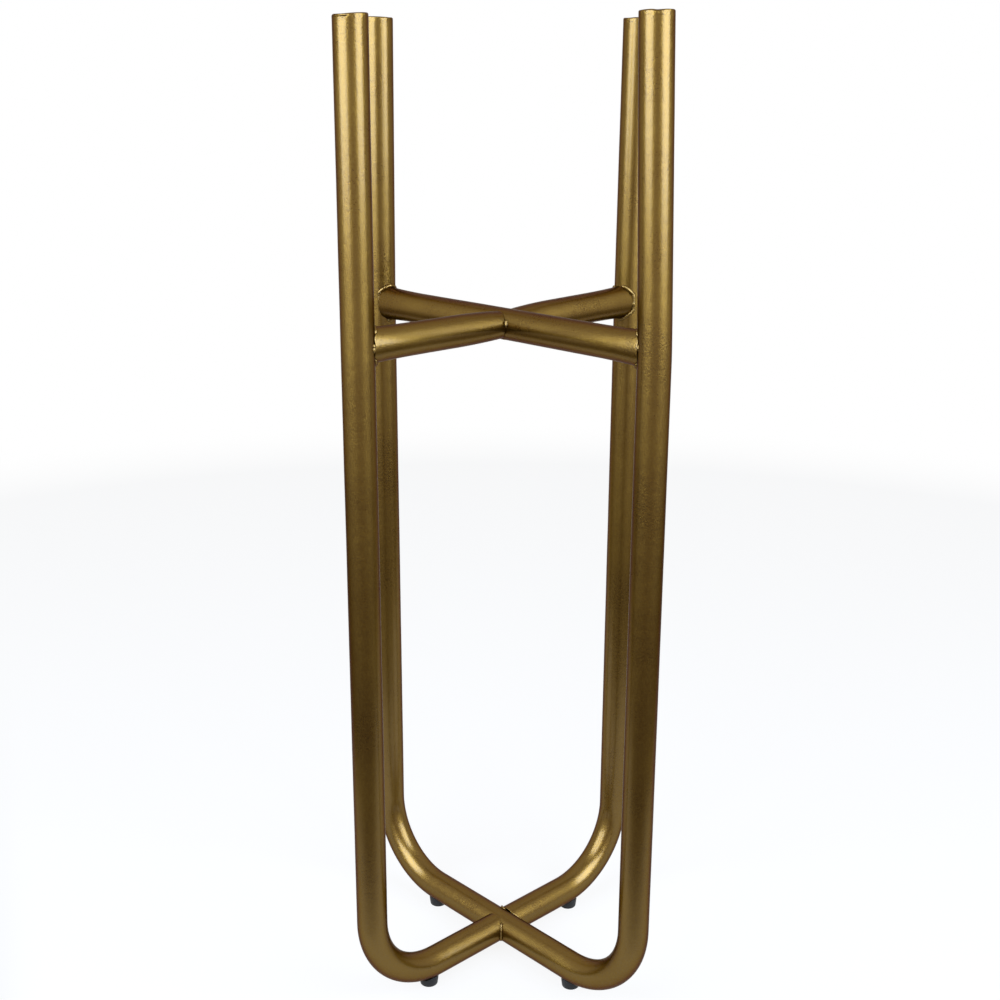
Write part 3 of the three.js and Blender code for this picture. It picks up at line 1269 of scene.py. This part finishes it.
@dataclass(frozen=True)
class Workshop:
    """What the sub-assemblies are made with: the two shops, and two more finishes."""

    tubes: TubeShop
    welds: WeldShop
    cap_paint: Material
    rubber: Material

    @classmethod
    def opened(cls, sizes: StandSizes) -> "Workshop":
        """Makes the finishes and draws the node groups.

        Args:
            sizes: the sizes of the stand.

        Returns:
            The workshop.
        """
        # The welds' paint is lighter and yellower than the tubes': a painted highlight for the
        # light that the beads catch.
        weld_paint_with_painted_highlight = GoldPaint(
            name="gold_paint_on_weld", colour=(0.20, 0.125, 0.030), roughness=0.3,
            grain_height=0.00003, ripple_height=0.0001, pit_share=0.05,
        )
        cap_paint = GoldPaint(
            name="gold_paint_on_ground_steel", roughness=0.33, ripple_height=0.0004,
            pit_share=0.05,
        )
        return cls(
            TubeShop(sizes, GoldPaint().material()), WeldShop(sizes, weld_paint_with_painted_highlight.material()),
            cap_paint.material(), BlackRubber().material(),
        )


@dataclass(frozen=True)
class Upright:
    """What every leg has besides its tube: its cap, its foot and the weld of its brace."""

    sizes: StandSizes
    leg: Leg
    shop: Workshop

    def build(self) -> None:
        """Makes the cap, the foot and the brace weld of this leg."""
        leg, work = self.leg, HAND_WORK[self.leg]
        GroundCap(self.sizes, leg, self.shop.cap_paint).build()
        RubberFoot(self.sizes, leg, self.shop.rubber).build()
        span = self.sizes.half_span(leg)
        forward, right = span * math.cos(leg.angle), span * math.sin(leg.angle)
        self.shop.welds.lay(
            f"brace_weld_{leg.label}", work.brace_weld, work.rim,
            (forward, right, self.sizes.brace_axis + work.rise), leg.angle + math.pi,
            flare=work.flare,
        )


@dataclass(frozen=True)
class ThroughFrame:
    """The unbroken frame: the U tube, and the brace between its legs."""

    sizes: StandSizes
    shop: Workshop

    def build(self) -> None:
        """Makes the U tube and its brace, and what its two legs carry."""
        sizes, cut = self.sizes, self.shop.tubes.cut
        span, angle = sizes.through_half_span, Leg.FRONT_RIGHT.angle
        length = sizes.upright_end(span)
        rear, front = HAND_WORK[Leg.REAR_LEFT], HAND_WORK[Leg.FRONT_RIGHT]
        u_tube = TubeForm(
            TubeEnd(rear.top.shorter - length, lean=rear.lean),
            TubeEnd(length - front.top.shorter, lean=front.lean), 1.0, span,
        )
        cut("through_u_tube", u_tube, sizes.base_axis, angle)
        brace = TubeForm(
            TubeEnd(rear.rim - span, rear.rim, flare=rear.flare),
            TubeEnd(span - front.rim, front.rim, flare=front.flare), 2.0,
            tilt=(front.rise - rear.rise) / (2 * span),
        )
        cut("brace_through_tube", brace, sizes.brace_axis, angle)
        for leg in (Leg.FRONT_RIGHT, Leg.REAR_LEFT):
            Upright(sizes, leg, self.shop).build()


@dataclass(frozen=True)
class HalfFrame:
    """Half of the cross frame: a J tube and half a brace, welded on the through frame."""

    sizes: StandSizes
    leg: Leg
    shop: Workshop

    def build(self) -> None:
        """Makes the J tube, the half brace, their crossing welds, and what the leg carries."""
        sizes, label, angle = self.sizes, self.leg.label, self.leg.angle
        cut, work, span = self.shop.tubes.cut, HAND_WORK[self.leg], sizes.cross_half_span
        seed = 3.0 + list(Leg).index(self.leg)
        crossing = TubeEnd(CROSSING_RIM, CROSSING_RIM, meets_upright=False)
        top = TubeEnd(sizes.upright_end(span) - work.top.shorter, lean=work.lean)
        cut(f"j_tube_{label}", TubeForm(crossing, top, seed, span), sizes.base_axis, angle)
        brace = TubeForm(
            replace(crossing, flare=work.crossing_flare),
            TubeEnd(span - work.rim, work.rim, flare=work.flare), seed + 5,
            tilt=work.rise / span,
        )
        cut(f"brace_half_tube_{label}", brace, sizes.brace_axis, angle)
        # The bead is tipped over, so what the press adds to the tube's height is its width.
        tipped = -work.crossing_flare / TubeShop.FLARE_GIVE
        for level, height, runs, flare in (
            ("brace", sizes.brace_axis, work.brace_crossing, tipped),
            ("base", sizes.base_axis, work.base_crossing, 0.0),
        ):
            self.shop.welds.lay(
                f"{level}_crossing_weld_{label}", runs, CROSSING_RIM, (0.0, 0.0, height), angle,
                level=True, flare=flare,
            )
        Upright(sizes, self.leg, self.shop).build()


# ---------------- studio


def towards(turn: float, rise: float) -> Vector:
    """The direction that is turned from +Y towards +X and then raised, in radians."""
    level = math.cos(rise)
    return Vector((math.sin(turn) * level, math.cos(turn) * level, math.sin(rise)))


@dataclass(frozen=True)
class SoftBox:
    """A soft lamp: where it stands as seen from the stand, its size and how bright it is."""

    name: str
    azimuth: float
    elevation: float
    distance: float
    width: float
    height: float
    radiance: float
    colour: Triple

    def light(self, centre: Vector) -> None:
        """Sets the lamp up, facing the stand.

        Args:
            centre: what it faces.
        """
        away = towards(math.radians(180.0 - self.azimuth), math.radians(self.elevation))
        lamp = bpy.data.lights.new(self.name, "AREA")
        lamp.shape = "RECTANGLE"
        lamp.size, lamp.size_y = self.width, self.height
        lamp.energy = self.radiance * math.pi * self.width * self.height
        lamp.color = self.colour
        made = in_scene(self.name, lamp)
        made.location = centre + away * self.distance
        made.rotation_euler = (-away).to_track_quat("-Z", "Y").to_euler()
        made.visible_camera = False
        log.info("lamp %s: %.1f W", self.name, lamp.energy)


@dataclass(frozen=True)
class Studio:
    """The picture's camera, its soft lamps, the white surroundings and the floor.

    The camera's place and its clip range are in metres, and its angles in radians. Each step of
    the floor's profile is a radius and a height in millimetres.
    """

    camera_place: Triple = (0.01741, -0.84659, 0.57884)
    camera_turn: float = -0.02341
    camera_dip: float = 0.29732
    camera_roll: float = -0.00471
    lens: float = 50.994
    sensor: float = 36.0
    clip: tuple[float, float] = (0.01, 50.0)
    fill: float = 0.30
    around: Surroundings = Surroundings()
    lamps: tuple[SoftBox, ...] = (
        SoftBox("soft_box_left", -48.0, 30.0, 1.2, 1.12, 1.1, 7.1, (0.84, 1.0, 1.25)),
        SoftBox("soft_box_right", 56.0, 30.0, 1.2, 0.98, 1.1, 7.3, (0.84, 1.0, 1.25)),
    )
    floor_sides: int = 96
    floor_profile: tuple[tuple[float, float], ...] = (
        (200, -4.0), (29990, -4.0), (30000, -3.0), (29998, 0.0), (150, 0.0),
    )

    def camera(self) -> None:
        """Puts the camera where the picture was taken from."""
        turn, dip, roll = self.camera_turn, self.camera_dip, self.camera_roll
        ahead = towards(turn, -dip)
        level_right = Vector((math.cos(turn), -math.sin(turn), 0.0))
        level_down = ahead.cross(level_right)
        right = math.cos(roll) * level_right + math.sin(roll) * level_down
        down = -math.sin(roll) * level_right + math.cos(roll) * level_down
        columns = Matrix((right, -down, -ahead)).transposed()
        data = bpy.data.cameras.new("picture_camera")
        data.lens, data.sensor_width = self.lens, self.sensor
        data.clip_start, data.clip_end = self.clip
        made = in_scene("picture_camera", data)
        made.matrix_world = Matrix.Translation(self.camera_place) @ columns.to_4x4()
        bpy.context.scene.camera = made

    def surroundings(self) -> None:
        """Makes the world: the surroundings as they are seen, and a plain soft fill elsewhere."""
        world = bpy.data.worlds.new("studio_surroundings")
        world.use_nodes = True
        bpy.context.scene.world = world
        draft = NodeDraft(world.node_tree)
        _, towards_back, _ = draft.separate(draft.flow("ShaderNodeTexCoord", "Generated"))
        seen = self.around.walls(draft, towards_back)
        colour = draft.mix_colour(seen_rays(draft), (self.fill,) * 3, seen)
        draft.feed(world.node_tree.nodes["Background"], {"Color": colour})

    def floor(self) -> None:
        """Lays a wide matt floor under the feet."""
        around = circle(self.floor_sides)
        rings = [ring(around, radius, level) for radius, level in self.floor_profile]
        mesh = ring_mesh("pale_floor", rings)
        mesh.shade_flat()
        mesh.materials.append(PaleFloor().material(self.around))
        in_scene("pale_floor", mesh)

    def set_up(self, centre: Vector) -> None:
        """Sets up everything round the stand.

        Args:
            centre: the middle of the stand, which the lamps face.
        """
        bpy.context.scene.view_settings.view_transform = "Standard"
        self.camera()
        self.surroundings()
        self.floor()
        for lamp in self.lamps:
            lamp.light(centre)


# ---------------- the whole


def main() -> None:
    """Builds the stand and its studio, piece by piece."""
    sizes = StandSizes.from_frame()
    log.info("sizes: %s", sizes)
    shop = Workshop.opened(sizes)
    ThroughFrame(sizes, shop).build()
    for leg in (Leg.FRONT_LEFT, Leg.REAR_RIGHT):
        HalfFrame(sizes, leg, shop).build()
    Studio().set_up(Vector((0.0, 0.0, sizes.stand_top / 2 * MM)))


if __name__ == "__main__":
    main()
